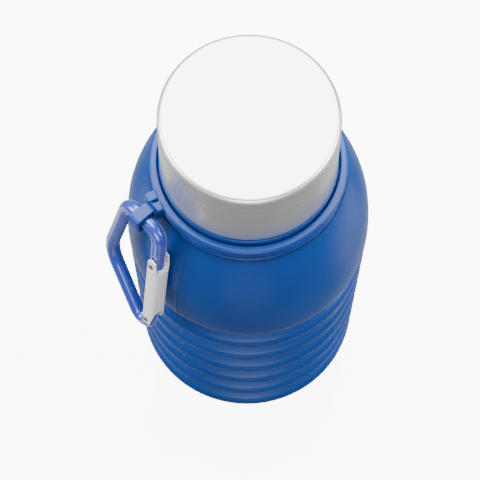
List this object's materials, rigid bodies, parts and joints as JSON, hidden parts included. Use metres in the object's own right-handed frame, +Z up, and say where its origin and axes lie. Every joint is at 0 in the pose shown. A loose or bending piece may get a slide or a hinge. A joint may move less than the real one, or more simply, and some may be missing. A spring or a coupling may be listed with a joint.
{
  "type": "folding water bottle",
  "caption": "Soft folding drinking bottle with a screw-on metal lid and a turning carry ring that holds a small carabiner.",
  "frame": {"origin": "middle of the flat base the bottle stands on", "axes": "+Z up through the neck and lid; -Y is the side the picture looks from; the carry loop points to -X -Y"},
  "size_m": [0.0806, 0.0752, 0.168],
  "materials": {
    "silicone": "satin moulded silicone",
    "plastic": "moulded polypropylene",
    "strap": "smooth moulded",
    "steel": "brushed stainless steel",
    "seal": "translucent silicone",
    "enamel": "gloss blue enamel on aluminium",
    "gate_steel": "bright sheet steel"
  },
  "bodies": {
    "base": {"base_cup": "silicone"},
    "fold_5": {"fold_ring_5": "silicone"},
    "fold_4": {"fold_ring_4": "silicone"},
    "fold_3": {"fold_ring_3": "silicone"},
    "fold_2": {"fold_ring_2": "silicone"},
    "fold_1": {"fold_ring_1": "silicone"},
    "upper": {"shoulder": "silicone", "neck_insert": "plastic"},
    "seal": {"lid_gasket": "seal"},
    "lid": {"lid_shell": "steel", "lid_insert": "plastic"},
    "ring": {"carry_ring": "strap"},
    "clip": {"carabiner_frame": "enamel", "gate_rivet": "gate_steel"},
    "gate": {"carabiner_gate": "gate_steel", "latch_pin": "gate_steel", "gate_spring": "gate_steel"}
  },
  "joints": [
    {"name": "fold_gap_6", "type": "slide", "parent": "base", "child": "fold_5", "axis": [0, 0, -1], "range_m": [0, 0.008]},
    {"name": "fold_gap_5", "type": "slide", "parent": "fold_5", "child": "fold_4", "axis": [0, 0, -1], "range_m": [0, 0.008]},
    {"name": "fold_gap_4", "type": "slide", "parent": "fold_4", "child": "fold_3", "axis": [0, 0, -1], "range_m": [0, 0.008]},
    {"name": "fold_gap_3", "type": "slide", "parent": "fold_3", "child": "fold_2", "axis": [0, 0, -1], "range_m": [0, 0.008]},
    {"name": "fold_gap_2", "type": "slide", "parent": "fold_2", "child": "fold_1", "axis": [0, 0, -1], "range_m": [0, 0.008]},
    {"name": "fold_gap_1", "type": "slide", "parent": "fold_1", "child": "upper", "axis": [0, 0, -1], "range_m": [0, 0.008]},
    {"name": "lid_rise", "type": "slide", "parent": "upper", "child": "seal", "axis": [0, 0, 1], "range_m": [0, 0.036]},
    {"name": "lid_turn", "type": "hinge", "parent": "seal", "child": "lid", "pos_m": [0, 0, 0.15], "axis": [0, 0, 1], "range_deg": [0, 1080]},
    {"name": "carry_ring_turn", "type": "hinge", "parent": "upper", "child": "ring", "pos_m": [0, 0, 0.1349], "axis": [0, 0, 1], "continuous": true},
    {"name": "carabiner_swing", "type": "hinge", "parent": "ring", "child": "clip", "pos_m": [-0.03017, -0.01673, 0.1349], "axis": [-0.6691, 0.7431, 0], "range_deg": [0, 95]},
    {"name": "gate_open", "type": "hinge", "parent": "clip", "child": "gate", "pos_m": [-0.02938, -0.0319, 0.09175], "axis": [-0.7255, -0.6533, 0.2164], "range_deg": [0, 20], "stiffness_Nm_per_rad": 0.02, "springref_deg": -17.19, "deforming": ["gate_spring"]}
  ],
  "couplings": [
    {"joint": "lid_turn", "follows": "lid_rise", "rad_per_m": 523.59},
    {"joint": "fold_gap_6", "follows": "fold_gap_1", "ratio": 1},
    {"joint": "fold_gap_5", "follows": "fold_gap_1", "ratio": 1},
    {"joint": "fold_gap_4", "follows": "fold_gap_1", "ratio": 1},
    {"joint": "fold_gap_3", "follows": "fold_gap_1", "ratio": 1},
    {"joint": "fold_gap_2", "follows": "fold_gap_1", "ratio": 1}
  ]
}
